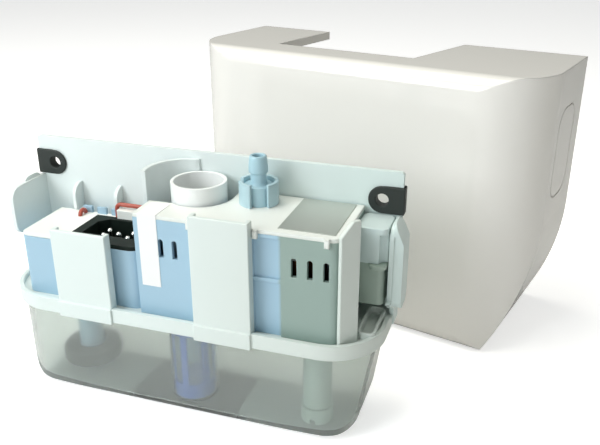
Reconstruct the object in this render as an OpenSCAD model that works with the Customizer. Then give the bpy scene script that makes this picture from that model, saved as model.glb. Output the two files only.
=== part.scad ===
// Wall mounted condensate pump, open, with its cover taken off and stood behind it.
// X runs along the wall, Y into it and Z up. The wall face is Y = 0 and the origin
// lies midway between the two wall screws. Heights named below are measured up from
// the underside of the basin, and values that end in out are distances from the wall.

/* [Wall plate] */
// Width of the wall plate
plate_w = 162; // [158:0.5:168]
// Height of the plate's top edge
plate_top = 99.5; // [97.5:0.5:103]
// Thickness of the plate
plate_t = 2; // [1.6:0.1:2.6]
// Distance between the two wall screws
screw_span = 146; // [142:0.5:148]
// Height of the wall screws
screw_h = 88; // [86:0.5:90]
// Diameter of the hole for a wall screw
screw_d = 5; // [4:0.1:6]
// Height of a rubber lug
lug_h = 11; // [10:0.5:14]
// Depth of the left wing
wing_depth = 23.5; // [18:0.5:26]
// Depth of the right wing
right_wing_depth = 14; // [12:0.5:16]
// Height of the wings' top edge
wing_top = 82.2; // [78:0.2:82.6]

/* [Cradle] */
// Distance of the rim's front face from the wall
rim_out = 43.5; // [42.5:0.1:46]
// Radius of the rim's front corners
rim_r = 22; // [18:0.5:26]
// Wall of the rim and the guards
rim_wall = 1.8; // [1.4:0.1:2.2]
// Height of the deck that the pump housing stands on
deck_top = 42; // [41:0.2:43]
// Thickness of the deck
deck_t = 2; // [1.6:0.1:2.4]
// Depth of the rim below the deck
skirt_h = 2.3; // [1.6:0.1:3]
// Height of the lip above the deck
lip_h = 1.8; // [1:0.1:3]
// Height of the left guard's top
left_guard_top = 75; // [72:0.5:80]
// Width of the left guard
left_guard_w = 24.4; // [20:0.2:26]
// Height of the centre guard's top
centre_guard_top = 88.5; // [86:0.5:92]
// Width of the centre guard
centre_guard_w = 23.6; // [20:0.2:24]
// Height of the corner guard's top
corner_guard_top = 91; // [88:0.5:94]

/* [Drain inlet] */
// Distance of the inlet from the plate's middle
inlet_x = 1.5; // [0:0.1:2.5]
// Bore of the inlet that takes the drain hose
inlet_d = 19.8; // [18:0.1:20]
// Wall of the inlet
inlet_wall = 1.3; // [1:0.1:1.4]
// Height of the inlet's top edge
inlet_top = 91.8; // [90:0.2:96]

/* [Basin] */
// Wall of the basin
basin_wall = 1.8; // [1.4:0.1:2]
// Distance of the basin's rear face from the wall
basin_back = 10; // [9.8:0.1:10.6]
// Draft of the basin's two ends in degrees
basin_draft = 8; // [4:0.5:10]
// Radius of the basin's lower corners
basin_corner_r = 10; // [6:0.5:13]
// Radius along the bottom front edge
basin_toe_r = 3; // [2.4:0.1:5]
// Half length of the flat foot under the basin
basin_foot = 24; // [18:1:30]
// Radius of the slight rise from the foot to each side
basin_bow_r = 800; // [600:50:1200]

/* [Pump housing] */
// Wall of the housing
housing_wall = 1.8; // [1.4:0.1:2]
// Height of the high block without its lid
high_top = 83.5; // [82:0.5:84]
// Height of the low block without its lid
low_top = 67.5; // [66:0.5:68.5]
// Thickness of both lids
lid_t = 1.5; // [1.2:0.1:2]
// Distance of the high block's front from the wall
high_out = 39; // [38:0.1:39.6]
// Distance of the low block's front from the wall
low_out = 37.2; // [36:0.1:37.6]
// Place of the step between the low and the high block
step_x = -15.2; // [-16:0.1:-14.8]
// Width of a vent slot
vent_w = 2.1; // [1.6:0.1:2.6]
// Height of a vent slot
vent_h = 7.6; // [6:0.2:9]

/* [Mains inlet] */
// Width of the plug recess
socket_w = 24; // [22:0.2:25]
// Depth of the plug recess across the frame
socket_l = 15.6; // [14.5:0.1:16.5]
// Depth of the plug recess down into the housing
socket_h = 11; // [9:0.5:11.5]
// Diameter of a contact pin
pin_d = 2.4; // [2:0.1:2.8]

/* [Outlet] */
// Distance of the outlet from the plate's middle
outlet_x = 26.5; // [26:0.1:28]
// Outer diameter of the hose barb's shank
outlet_d = 6.2; // [5.6:0.1:6.6]
// Height of the outlet's tip
outlet_top = 104.3; // [102:0.1:107]
// Outer diameter of the ring of prongs
prong_d = 15.6; // [14.6:0.2:16]

/* [Float and strainer] */
// Diameter of the float
float_d = 24.6; // [22:0.2:25]
// Height of the float
float_h = 7; // [6:0.2:9]
// Rise of the float on its stem
float_rise = 10; // [8:0.5:13]
// Diameter of the float's stem
stem_d = 10; // [8:0.2:10.4]
// Diameter of the strainer's clear cup
cup_d = 19.2; // [17.6:0.2:19.4]
// Number of bars in the strainer's cage
bar_count = 6; // [4:1:8]
// Diameter of the suction tube
suction_d = 11; // [10:0.2:11.6]

/* [Solenoid pump] */
// Diameter of the piston
piston_d = 6.4; // [5.4:0.1:6.8]
// Length of the piston
piston_l = 9; // [7:0.5:11]
// Travel of the piston each way
piston_travel = 1.5; // [1:0.1:1.8]
// Outer diameter of the winding
winding_d = 23; // [20:0.5:24]

/* [Cover] */
// Width of the cover
cover_w = 180; // [176:0.5:184]
// Height of the cover
cover_h = 128; // [122:0.5:132]
// Depth of the cover
cover_d = 70; // [64:0.5:74]
// Wall of the cover
cover_wall = 2; // [1.6:0.1:2.4]
// Height up to which the cover's sides curve in
cover_knee = 58; // [50:1:62]
// How far each side of the cover draws in
cover_inset = 16; // [12:0.5:18]
// Radius of the cover's upright front corners
cover_r = 28; // [22:0.5:32]
// Place of the cover along the wall
cover_x = 57; // [50:1:80]
// Distance of the cover's open back behind the wall plane
cover_y = 124; // [118:1:140]
// Turn of the cover about the upright
cover_turn = -14; // [-20:1:-4]

/* [Hidden] */
$fn = 64;

// General fits and overruns
over = 1;
fit = 0.3;
slip = 0.1;
run_fit = 0.05;

// Colours
white = [0.93, 0.95, 0.95];
pale_white = [0.86, 0.92, 0.92];
pale_blue = [0.68, 0.81, 0.90];
strainer_blue = [0.45, 0.55, 0.85];
clear_grey = [0.86, 0.87, 0.86, 0.5];
rubber_black = [0.08, 0.10, 0.10];
steel = [0.75, 0.76, 0.78];
copper = [0.72, 0.42, 0.25];
wire_red = [0.65, 0.22, 0.18];
board_green = [0.15, 0.40, 0.25];
float_grey = [0.22, 0.27, 0.27];

// Wall plate
plate_half = plate_w / 2;
lug_back = 1.5;
lug_front = 1;
lug_past = 0.8;
plate_back = lug_back;
plate_out = plate_back + plate_t;
plate_bottom = deck_top - deck_t - skirt_h - 6.8;
plate_side_bottom = deck_top - deck_t - skirt_h;
foot_in = 15;
plate_r = 1.5;
lug_r = lug_h / 2;
slot_r = lug_r - 2;
wing_t = 1.8;
wing_r = 5;
wing_h = 21;
right_wing_h = 35;
web_out = plate_out + 6;
web_r = 12;
pad_t = 3.6;
pad_out = plate_out + lug_front + 0.5;
pad_l = 12;
pad_r = 4;
pad_top = wing_top + 1.6;
pad_ramp = 8;
screen_x = inlet_x - 4;
screen_out = plate_out + 16.5;
screen_r = 16.8;
screen_t = 1.8;
screen_bottom = low_top + lid_t + fit;
screen_top = plate_top - 3;
screen_start = 92;
screen_end = 195;
fin_t = 1.6;
left_fin_out = plate_out + 6.2;
fin_bottom = low_top + lid_t + fit;
fin_top = low_top + 13;
fin_r = 5.5;

// Cradle
rim_half = plate_half - 0.5;
deck_bottom = deck_top - deck_t;
skirt_bottom = deck_bottom - skirt_h;
lip_top = deck_top + lip_h;
rim_in = rim_out - rim_wall;
rear_band = basin_back - 0.4;
lip_back_gap = 5;
guard_fin = 4.2;
guard_tab = 0.7;
guard_tab_t = 0.9;
left_guard_inset = 30.7;
left_guard_x = -plate_half + left_guard_inset;
centre_guard_past = 8.4;
centre_guard_x = inlet_x + centre_guard_past;
corner_inset = 13.7;
corner_x = rim_half - corner_inset;
corner_set = 3.7;
corner_out = rim_out - corner_set;
corner_l = 8.6;
corner_turn = 52;
corner_drop = 5;
corner_level = 0.6;
tray_w = 7;
tray_l = 22;
tray_out = 9.5;
tray_h = 3;
tray_wall = 1;
tray_r = 2.5;
tray_x = rim_half - rim_wall - tray_w - 0.7;

// Drain inlet and the chute under the deck
inlet_r = inlet_d / 2 + inlet_wall;
inlet_out = plate_out + inlet_r + 0.3;
chute_wall = 1.4;
chute_h = 4.6;
chute_floor = 1.5;
hose_stop = 1;
duct_flange = 1.2;
chute_bottom = deck_bottom - chute_h;
chute_back = basin_back + basin_wall + fit;
strainer_x = inlet_x;

// Basin
basin_half = rim_half - rim_wall - fit;
basin_out = rim_in - fit;
basin_r = rim_r - rim_wall - fit;
basin_top = deck_bottom - fit;
basin_bow_z = sqrt(basin_bow_r * basin_bow_r - basin_foot * basin_foot);
basin_corner_x = basin_half - (basin_top - basin_corner_r) * tan(basin_draft)
    - basin_corner_r / cos(basin_draft);
basin_corner_z = basin_bow_z - sqrt((basin_bow_r - basin_corner_r) * (basin_bow_r - basin_corner_r)
    - basin_corner_x * basin_corner_x);

// Pump housing
left_inset = 11.5;
module_left = -plate_half + left_inset;
right_inset = 14.5;
module_right = plate_half - right_inset;
plate_gap = 0.7;
module_back = plate_out + plate_gap;
cable_gap = 5;
low_back = plate_out + cable_gap;
low_r = 3;
low_step_r = 5;
high_r = 4;
arc_gap = 2.4;
arc_r = inlet_r + arc_gap;
arc_x = inlet_x;
arc_set = 1.5;
arc_out = inlet_out - arc_set;
cove_turn = 60;
floor_t = 1.4;
floor_top = deck_top + floor_t;
lid_top = high_top + lid_t;
low_lid_top = low_top + lid_t;
panel_x = centre_guard_x + centre_guard_w;
panel_w = 10.5;
panel_sink = 1;
ledge_drop = 1.5;
panel_ledge = low_top - ledge_drop;
panel_ledge_h = 1.6;
vent_rise = 8;
vent_top = low_top + vent_rise;
left_vent_shares = [0.4, 0.63];
right_vent_shares = [0.18, 0.45, 0.72];
tab_w = 4.4;
tab_t = 1.2;
tab_h = 2.6;
tab_pitch = 7;
tab_inset = 12;
tab_x = module_left + tab_inset;
tab_count = 3;
hook_w = 1.8;
hook_l = 1.6;
hook_h = 3.2;
lid_tongue = 3.6;

// End housing at the right
cap_out = 19;
cap_bottom = low_top + 0.3;
cap_drop = 2.8;
cap_top = lid_top - cap_drop;
cap_w = 12.3;
cap_r = 2.5;
channel_r = 3;
end_w = 11.2;
end_lift = 8;
end_bottom = deck_top + end_lift;
end_out = cap_out - 1;
shelf_t = 1.6;
shelf_past = 2;

// Mains inlet
frame_w = 33.8;
frame_back = 12;
frame_past = 0.3;
socket_gap = 5.6;
socket_x = step_x - socket_gap - socket_w / 2;
socket_out = frame_back + 2.6 + socket_l / 2;
socket_cut = 4;
inlet_body_wall = 2;
inlet_body_past = 2;
inlet_body_h = socket_h + inlet_body_past;
pin_x_pitch = 5.6;
pin_y_pitch = 2.5;
pin_drop = 2.6;
pin_tip = low_lid_top - pin_drop;

// Plates and strips
label_t = 0.25;
label_w = 21.5;
label_l = 31;
label_inset = 3;
label_x = module_right - label_inset - label_w;
label_gap = 1.5;
label_out = plate_out + label_gap;
strip_w = 8;
strip_gap = 2;
strip_x = step_x + strip_gap;
strip_drop = 30;
strip_back = 12;
strip_t = 0.2;

// Outlet
outlet_reach = 10.5;
outlet_out = plate_out + outlet_reach;
outlet_bore = 3.2;
barb_rise = 1.5;
barb_d = outlet_d + barb_rise;
barb_top_d = outlet_d + 0.1;
barb_h = 6.5;
tip_l = 9.5;
barb_z = outlet_top - tip_l;
base_margin = 4.2;
base_d = prong_d - base_margin;
base_h = 7.8;
base_top = lid_top + base_h;
prong_t = 1.5;
prong_h = 9.2;
prong_arc = 62;
prong_turns = [235, 350, 55, 145];
nipple_d = 5;
nipple_bottom = high_top - 0.3;
valve_d = 4.6;
valve_h = 5.2;
valve_lift_z = 1;
valve_z = lid_top + valve_lift_z;
ball_r = 2;
seat_gap = 0.02;
ball_z = valve_z + sqrt(ball_r * ball_r - outlet_bore * outlet_bore / 4) + seat_gap;

// Cable block and lead wires behind the low lid
block_inset = 31;
block_x = module_left + block_inset;
block_w = 7.4;
block_h = 4.2;
block_l = 5;
wire_r = 0.9;
wire_out = low_back + tab_t + wire_r + slip;
wire_gap = 1.4;
wire_left = block_x - wire_gap;
wire_end_gap = 5;
wire_right = step_x - wire_end_gap;
wire_rise = 5.8;
wire_top = low_lid_top + wire_rise;
wire_bend = 2.2;
loop_inset = 13.8;
loop_x = module_left + loop_inset;
loop_r = 2;
fin_inset = 7.2;
fin_left = module_left + fin_inset;
fin_right = wire_left - wire_r - fin_t - 0.2;

// Float
float_inset = 31.5;
float_x = -plate_half + float_inset;
float_out = (basin_back + basin_out) / 2 - 0.6;
stem_lift = 3;
stem_bottom = basin_wall + stem_lift;
stem_neck_d = 6;
stem_neck_top = floor_top + 1;
clip_lift = 1.6;
clip_z = stem_bottom + clip_lift;
clip_t = 1;
clip_margin = 4.6;
clip_d = stem_d + clip_margin;
groove_margin = 2;
groove_d = stem_d - groove_margin;
float_bottom = clip_z + clip_t + fit;
float_bore = stem_d + 2 * slip;
magnet_gap = 1.6;
magnet_in = float_bore + magnet_gap;
magnet_margin = 8;
magnet_out = float_bore + magnet_margin;
magnet_h = 4;
reed_bore = 4;
reed_d = 3.2;
reed_l = 16;
reed_lift = 5;
reed_bottom = stem_bottom + reed_lift;

// Strainer
strainer_out = basin_out - basin_wall - cup_d / 2 - 2;
strainer_r = cup_d / 2;
cup_wall = 0.9;
cup_bottom = basin_wall + 0.5;
cup_top = chute_bottom - fit;
cage_r = strainer_r - cup_wall - slip;
cage_base_h = 6.5;
cage_ring_h = 2.4;
bar_w = 2.4;
bar_t = 1;
neck_r = cage_r - 1.2;
neck_top = chute_bottom + chute_floor;
mesh_t = 0.3;
mesh_r = cage_r - bar_t - run_fit;

// Suction tube
suction_inset = 24.5;
suction_x = plate_half - suction_inset;
suction_out = basin_out - basin_wall - suction_d / 2 - 2;
suction_bore = 6;
foot_wall = 0.8;
foot_h = 6.5;
foot_slot = 2;
foot_floor = 1;
// Height of the basin's inner floor under the outer side of the foot cap
foot_floor_z = basin_wall + basin_bow_z
    - sqrt(basin_bow_r * basin_bow_r - (suction_x + suction_d) * (suction_x + suction_d));
suction_bottom = foot_floor_z + foot_floor + slip + fit;
suction_neck_d = 7;
suction_neck_top = floor_top + 0.4;

// Solenoid pump
pump_inset = 20.5;
pump_x = module_right - pump_inset;
pump_out = (module_back + high_out) / 2 - 0.6;
mount_d = 7;
yoke_lift = 8;
yoke_bottom = floor_top + yoke_lift;
yoke_h = 24;
yoke_t = 2.5;
yoke_margin = 7;
yoke_w = winding_d + yoke_margin;
yoke_l = 16;
yoke_top = yoke_bottom + yoke_h;
barrel_margin = 3.4;
barrel_d = piston_d + barrel_margin;
barrel_lift = 4;
barrel_bottom = floor_top + barrel_lift;
barrel_past = 3;
barrel_top = yoke_top + barrel_past;
barrel_bore = piston_d + 2 * run_fit;
port_d = 2;
port_h = 2;
bobbin_wall = 1.2;
bobbin_flange = 1.4;
bore_bottom = barrel_bottom + port_h;
bore_top = barrel_top - port_h;
piston_bottom = (bore_bottom + bore_top - piston_l) / 2;
spring_margin = 2.4;
spring_in = piston_d - spring_margin;
spring_out = piston_d - 0.4;
hose_r = 1.7;
suction_hose_z = barrel_bottom - hose_r;
outlet_hose_z = barrel_top + hose_r + 0.6;

// Control board
board_x = module_left + housing_wall + 1;
board_w = 49;
board_l = 20;
board_out = low_back + housing_wall + 1.5;
board_lift = 4;
board_z = floor_top + board_lift;
board_t = 1.6;
post_d = 4;
post_in = 2.6;
relay_w = 8;
relay_l = 14;
relay_h = 12;
cap_d = 6;
cap_h = 12;
board_screw_d = 1.8;
board_head_d = 3.4;
board_head_h = 1;

// Screws that hold the cradle to the plate
cradle_screw_d = 2.6;
cradle_head_d = 5.4;
cradle_head_h = 1.2;
cradle_screw_l = 7;
cradle_boss_w = 8;
cradle_boss_h = 5.6;
cradle_screw_z = deck_bottom - cradle_boss_h / 2;
cradle_screw_shares = [-0.74, -0.3, 0.3, 0.74];

// Cover
cover_half = cover_w / 2;
cover_flank_r = (cover_knee * cover_knee + cover_inset * cover_inset) / (2 * cover_inset);
cover_edge_r = 5;
cut_inset = 43;
cut_left = -cover_half + cut_inset;
cut_slant = 2;
cut_left_front = cut_left - cut_slant;
cut_right = 31;
cut_right_front = 24;
cut_out = 47;
cut_lip = 1.2;
cut_lip_h = 2;
tab_gap = 0.6;
release_w = 26;
release_h = 41;
release_out = 12;
release_drop = 59;
release_z = cover_h - release_drop;
release_r = 9;

// Flat shapes

module rect(x0, y0, x1, y1) {
    translate([x0, y0]) square([x1 - x0, y1 - y0]);
}

module round_rect(x0, y0, x1, y1, r) {
    rect(x0 + r, y0, x1 - r, y1);
    rect(x0, y0 + r, x1, y1 - r);
    for (x = [x0 + r, x1 - r], y = [y0 + r, y1 - r]) translate([x, y]) circle(r);
}

// Outline that is square at the wall and has two round front corners
module bay(half, back, front, r) {
    rect(-half, back, half, front - r);
    rect(-(half - r), back, half - r, front);
    intersection() {
        for (x = [-(half - r), half - r]) translate([x, front - r]) circle(r);
        rect(-half, back, half, front);
    }
}

// Front view of a body whose two sides curve in below the knee
module flanks(half, low, knee, high, r) {
    rect(-half, knee, half, high);
    intersection() {
        rect(-half, low, half, knee + over);
        flank_side(half, low, knee, r);
        mirror([1, 0]) flank_side(half, low, knee, r);
    }
}

module flank_side(half, low, knee, r) {
    rect(-half - over, low - over, half - r, knee + over);
    translate([half - r, knee]) circle(r, $fn = 180);
}

// Side view with a round bottom front edge, drawn as distance out and height
module toe(back, front, low, high, r) {
    rect(back, low, front - r, high);
    rect(back, low + r, front, high);
    translate([front - r, low + r]) circle(r);
}

// Solids from flat shapes: seen from above, from the side and from the front

module plan(z0, z1) {
    translate([0, 0, z0]) linear_extrude(z1 - z0) mirror([0, 1]) children();
}

module side(x0, x1) {
    translate([x0, 0, 0]) rotate([90, 0, 90]) linear_extrude(x1 - x0) mirror([1, 0]) children();
}

module face(out0, out1) {
    translate([0, -out0, 0]) rotate([90, 0, 0]) linear_extrude(out1 - out0) children();
}

module block(x0, x1, out0, out1, z0, z1) {
    translate([x0, -out1, z0]) cube([x1 - x0, out1 - out0, z1 - z0]);
}

module rod(x, out, z0, z1, d) {
    translate([x, -out, z0]) cylinder(h = z1 - z0, d = d);
}

module tube(x, out, z0, z1, d, bore) {
    difference() {
        rod(x, out, z0, z1, d);
        rod(x, out, z0 - over, z1 + over, bore);
    }
}

// Round bar that lies level between two places
module run(x0, out0, x1, out1, z, r) {
    dx = x1 - x0;
    dy = out0 - out1;
    translate([x0, -out0, z]) rotate([0, 90, atan2(dy, dx)]) cylinder(h = norm([dx, dy]), r = r);
}

// Moves heights that count from the basin's underside to the origin at the screws
module place() {
    translate([0, 0, -screw_h]) children();
}

// Wall plate

module lug_outline(x_end, r) {
    translate([screw_span / 2, screw_h]) circle(r);
    rect(screw_span / 2, screw_h - r, x_end, screw_h + r);
}

module lug() {
    face(0, plate_back) lug_outline(plate_half + lug_past, lug_r);
    face(plate_out, plate_out + lug_front) lug_outline(plate_half + lug_past, lug_r);
    face(0, plate_out + lug_front) lug_outline(plate_half + lug_past, slot_r - slip);
    face(0, plate_out + lug_front) intersection() {
        lug_outline(plate_half + lug_past, lug_r);
        rect(plate_half + slip, 0, plate_w, plate_top);
    }
}

module drilled_lug() {
    difference() {
        lug();
        translate([screw_span / 2, over, screw_h]) rotate([90, 0, 0])
            cylinder(h = plate_out + lug_front + 2 * over, d = screw_d);
    }
}

module left_lug() {
    color(rubber_black) place() mirror([1, 0, 0]) drilled_lug();
}

module right_lug() {
    color(rubber_black) place() drilled_lug();
}

module wing(reach, bottom) {
    side(plate_half - wing_t, plate_half) {
        intersection() {
            round_rect(0, bottom, plate_out + reach, wing_top, wing_r);
            rect(plate_back, bottom, plate_out + reach, wing_top);
        }
        difference() {
            rect(plate_back, plate_side_bottom, web_out + web_r, bottom + wing_r);
            translate([web_out + web_r, bottom + wing_r - web_r]) circle(web_r);
            rect(web_out, plate_side_bottom - over, web_out + web_r + over, bottom + wing_r - web_r);
        }
    }
}

// Block on the outside of a wing that the cover slides over, with a ramp at its top
module pad(bottom) {
    intersection() {
        side(plate_half - over / 2, plate_half + pad_t)
            round_rect(pad_out, bottom, pad_out + pad_l, pad_top, pad_r);
        face(0, rim_out) polygon([
            [plate_half - over, bottom - over], [plate_half + pad_t, bottom - over],
            [plate_half + pad_t, pad_top - pad_ramp], [plate_half, pad_top], [plate_half - over, pad_top]
        ]);
    }
}

// Curved screen that stands on the plate beside the drain inlet
module screen() {
    difference() {
        screen_wall();
        rod(inlet_x, inlet_out, screen_bottom - over, screen_top + over, 2 * (inlet_r + fit));
    }
}

module screen_wall() {
    intersection() {
        translate([screen_x, -screen_out, screen_bottom]) rotate([0, 0, screen_start])
            rotate_extrude(angle = screen_end - screen_start, $fn = 120)
                translate([screen_r - screen_t, 0]) square([screen_t, screen_top - screen_bottom]);
        block(-plate_half, plate_half, plate_out - over, rim_out, screen_bottom, screen_top);
    }
}

module cable_fin(x, fin_out) {
    side(x, x + fin_t) {
        rect(plate_out - over, fin_bottom, fin_out, fin_top - fin_r);
        rect(plate_out - over, fin_bottom, fin_out - fin_r, fin_top);
        translate([fin_out - fin_r, fin_top - fin_r]) circle(fin_r);
    }
}

module back_plate() {
    color(white) place() difference() {
        union() {
            face(plate_back, plate_out) {
                round_rect(-plate_half, plate_side_bottom, plate_half, plate_top, plate_r);
                round_rect(-plate_half + foot_in, plate_bottom, plate_half - foot_in,
                    plate_side_bottom + plate_r + over, plate_r);
            }
            wing(right_wing_depth, wing_top - right_wing_h);
            pad(wing_top - right_wing_h + over);
            mirror([1, 0, 0]) {
                wing(wing_depth, wing_top - wing_h);
                pad(wing_top - wing_h + over);
            }
            screen();
            cable_fin(fin_left, left_fin_out);
            cable_fin(fin_right, low_back - slip);
        }
        for (side_x = [0, 1]) mirror([side_x, 0, 0])
            face(plate_back - over, plate_out + over)
                lug_outline(plate_half + over, slot_r);
        for (share = cradle_screw_shares)
            translate([share * plate_half, 0, cradle_screw_z]) rotate([90, 0, 0])
                cylinder(h = plate_out + over, d = cradle_screw_d + 2 * slip);
    }
}

// Cradle

module rim_outline(inset) {
    bay(rim_half - inset, plate_out, rim_out - inset, rim_r - inset);
}

module chute_outline(inset) {
    intersection() {
        union() {
            translate([inlet_x, inlet_out]) circle(inlet_r + duct_flange - inset);
            translate([strainer_x, strainer_out]) circle(strainer_r - inset);
            rect(inlet_x - strainer_r + inset, inlet_out, inlet_x + strainer_r - inset, strainer_out);
        }
        rect(-plate_half, chute_back + inset, plate_half, rim_out);
    }
}

// Guard that rises in front of the housing, with a fin down each side and a foot over the rim
module guard(x, w, top) {
    block(x, x + w, rim_in, rim_out, skirt_bottom - guard_tab, top);
    for (fin_x = [x, x + w - rim_wall])
        block(fin_x, fin_x + rim_wall, rim_in - guard_fin + rim_wall, rim_out, deck_top, top);
    block(x, x + w, rim_in, rim_out + guard_tab_t, skirt_bottom - guard_tab, lip_top);
}

// Guard that wraps round the housing's right front corner, with a slanted top
module corner_guard() {
    translate([corner_x, -corner_out, 0]) rotate([0, 0, corner_turn]) translate([0, rim_wall, 0])
        rotate([90, 0, 0]) linear_extrude(rim_wall) polygon([
            [0, deck_top], [corner_l, deck_top], [corner_l, corner_guard_top],
            [corner_l * corner_level, corner_guard_top], [0, corner_guard_top - corner_drop]
        ]);
}

module front_guards() {
    color(pale_white) place() {
        guard(left_guard_x, left_guard_w, left_guard_top);
        guard(centre_guard_x, centre_guard_w, centre_guard_top);
        corner_guard();
    }
}

// Notch in the rim that a guard's foot fills
module guard_notch(x, w) {
    block(x, x + w, rim_in, rim_out + over, skirt_bottom - over, lip_top + over);
}

module cradle() {
    color(pale_white) place() difference() {
        union() {
            plan(deck_bottom, deck_top) rim_outline(0);
            difference() {
                plan(skirt_bottom, lip_top) rim_outline(0);
                plan(skirt_bottom - over, lip_top + over) difference() {
                    rim_outline(rim_wall);
                    rect(-plate_half, 0, plate_half, rear_band);
                }
                block(-plate_half, plate_half, 0, rear_band + lip_back_gap, deck_top, lip_top + over);
            }
            plan(deck_top - over / 2, deck_top + tray_h) difference() {
                round_rect(tray_x, tray_out, tray_x + tray_w, tray_out + tray_l, tray_r);
                round_rect(tray_x + tray_wall, tray_out + tray_wall, tray_x + tray_w - tray_wall,
                    tray_out + tray_l - tray_wall, tray_r - tray_wall);
            }
            for (share = cradle_screw_shares)
                block(share * plate_half - cradle_boss_w / 2, share * plate_half + cradle_boss_w / 2,
                    plate_out, rear_band, deck_bottom - cradle_boss_h, deck_bottom + over / 2);
        }
        guard_notch(left_guard_x, left_guard_w);
        guard_notch(centre_guard_x, centre_guard_w);
        for (side_x = [0, 1]) mirror([side_x, 0, 0])
            block(plate_half - wing_t - slip, plate_half + over, 0, web_out + fit,
                skirt_bottom - over, deck_top + over);
        rod(inlet_x, inlet_out, deck_bottom - over, deck_top + over, 2 * (inlet_r + slip), $fn = 96);
        rod(strainer_x, strainer_out, deck_bottom - over, deck_top + over, 2 * (neck_r + slip));
        rod(float_x, float_out, deck_bottom - over, deck_top + over, stem_neck_d + 2 * slip);
        rod(suction_x, suction_out, deck_bottom - over, deck_top + over, suction_neck_d + 2 * slip);
        for (share = cradle_screw_shares)
            translate([share * plate_half, 0, cradle_screw_z]) rotate([90, 0, 0])
                cylinder(h = plate_back + cradle_screw_l + slip, d = cradle_screw_d + 2 * run_fit);
    }
}

// Drain inlet: a duct through the deck and the chute under it that leads to the strainer

module inlet_duct() {
    color(pale_white) place() difference() {
        union() {
            rod(inlet_x, inlet_out, deck_bottom, inlet_top, 2 * inlet_r, $fn = 96);
            plan(chute_bottom, deck_bottom) chute_outline(0);
        }
        rod(inlet_x, inlet_out, deck_top, inlet_top + over, inlet_d, $fn = 96);
        plan(chute_bottom + chute_floor, deck_bottom + over / 2) chute_outline(chute_wall + duct_flange);
        plan(chute_bottom + chute_floor, deck_top + over) intersection() {
            chute_outline(chute_wall + duct_flange);
            translate([inlet_x, inlet_out]) circle(inlet_d / 2 - hose_stop);
        }
        rod(strainer_x, strainer_out, chute_bottom - over, deck_bottom + over / 2, 2 * (neck_r + slip));
    }
}

// Basin

// One lower corner of the front view, round under a drafted end
module basin_end(inset) {
    r = basin_corner_r - inset;
    rect(-basin_half, -over, basin_corner_x, basin_top + inset);
    translate([basin_corner_x, basin_corner_z]) circle(r);
    polygon([[basin_corner_x, basin_corner_z],
        [basin_corner_x + r * cos(basin_draft), basin_corner_z - r * sin(basin_draft)],
        [basin_half - inset / cos(basin_draft), basin_top + inset], [basin_corner_x, basin_top + inset]]);
}

module basin_form(inset) {
    intersection() {
        plan(-over, basin_top + inset)
            bay(basin_half - inset, basin_back + inset, basin_out - inset, basin_r - inset);
        face(0, rim_out) intersection() {
            rect(-basin_half, -over, basin_half, basin_top + inset);
            translate([0, basin_bow_z]) circle(basin_bow_r - inset, $fn = 720);
            basin_end(inset);
            mirror([1, 0]) basin_end(inset);
        }
        side(-basin_half, basin_half)
            toe(basin_back + inset, basin_out - inset, inset, basin_top + inset, basin_toe_r - inset);
    }
}

module basin() {
    color(clear_grey) place() difference() {
        basin_form(0);
        basin_form(basin_wall);
    }
}

// Pump housing

module low_outline(inset) {
    x0 = module_left + inset;
    x1 = step_x - inset;
    front = low_out - inset;
    back = low_back + inset;
    rect(x0, back, x1 - low_step_r + inset, front - low_r + inset);
    rect(x0 + low_r - inset, back, x1 - low_step_r + inset, front);
    rect(x0, back, x1, front - low_step_r + inset);
    translate([x0 + low_r - inset, front - low_r + inset]) circle(low_r - inset);
    translate([x1 - low_step_r + inset, front - low_step_r + inset]) circle(low_step_r - inset);
}

module high_outline(inset) {
    x0 = step_x + inset;
    x1 = module_right - inset;
    front = high_out - inset;
    cove = arc_r + inset;
    cove_front = arc_r * sin(cove_turn) + inset;
    difference() {
        union() {
            rect(x0, module_back + inset, x1 - high_r + inset, front);
            rect(x0, module_back + inset, x1, front - high_r + inset);
            translate([x1 - high_r + inset, front - high_r + inset]) circle(high_r - inset);
        }
        translate([arc_x, arc_out]) circle(cove, $fn = 96);
        rect(step_x - over, 0, arc_x + cove, arc_out);
        rect(step_x - over, 0, arc_x - sqrt(cove * cove - cove_front * cove_front), arc_out + cove_front);
    }
}

module vent(x) {
    face(high_out - housing_wall - over, high_out + over) {
        rect(x, vent_top - vent_h, x + vent_w, vent_top - vent_w / 2);
        translate([x + vent_w / 2, vent_top - vent_w / 2]) circle(vent_w / 2);
    }
}

module frame_outline(gap) {
    intersection() {
        low_outline(0);
        rect(step_x - frame_w - gap, frame_back - gap, step_x + over, low_out + over);
    }
}

module housing_shell() {
    plan(deck_top, low_top) low_outline(0);
    plan(deck_top, high_top) high_outline(0);
    for (i = [0 : tab_count - 1])
        block(tab_x + i * tab_pitch, tab_x + i * tab_pitch + tab_w,
            low_back, low_back + tab_t, low_top - over, low_lid_top + tab_h);
}

module housing_hollow() {
    plan(floor_top, low_top + over) low_outline(housing_wall);
    plan(floor_top, high_top + over) high_outline(housing_wall);
}

module board_posts() {
    for (x = [board_x + post_in, board_x + board_w - post_in],
            out = [board_out + post_in, board_out + board_l - post_in])
        tube(x, out, floor_top - over / 2, board_z, post_d, board_screw_d + 2 * run_fit);
}

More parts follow.
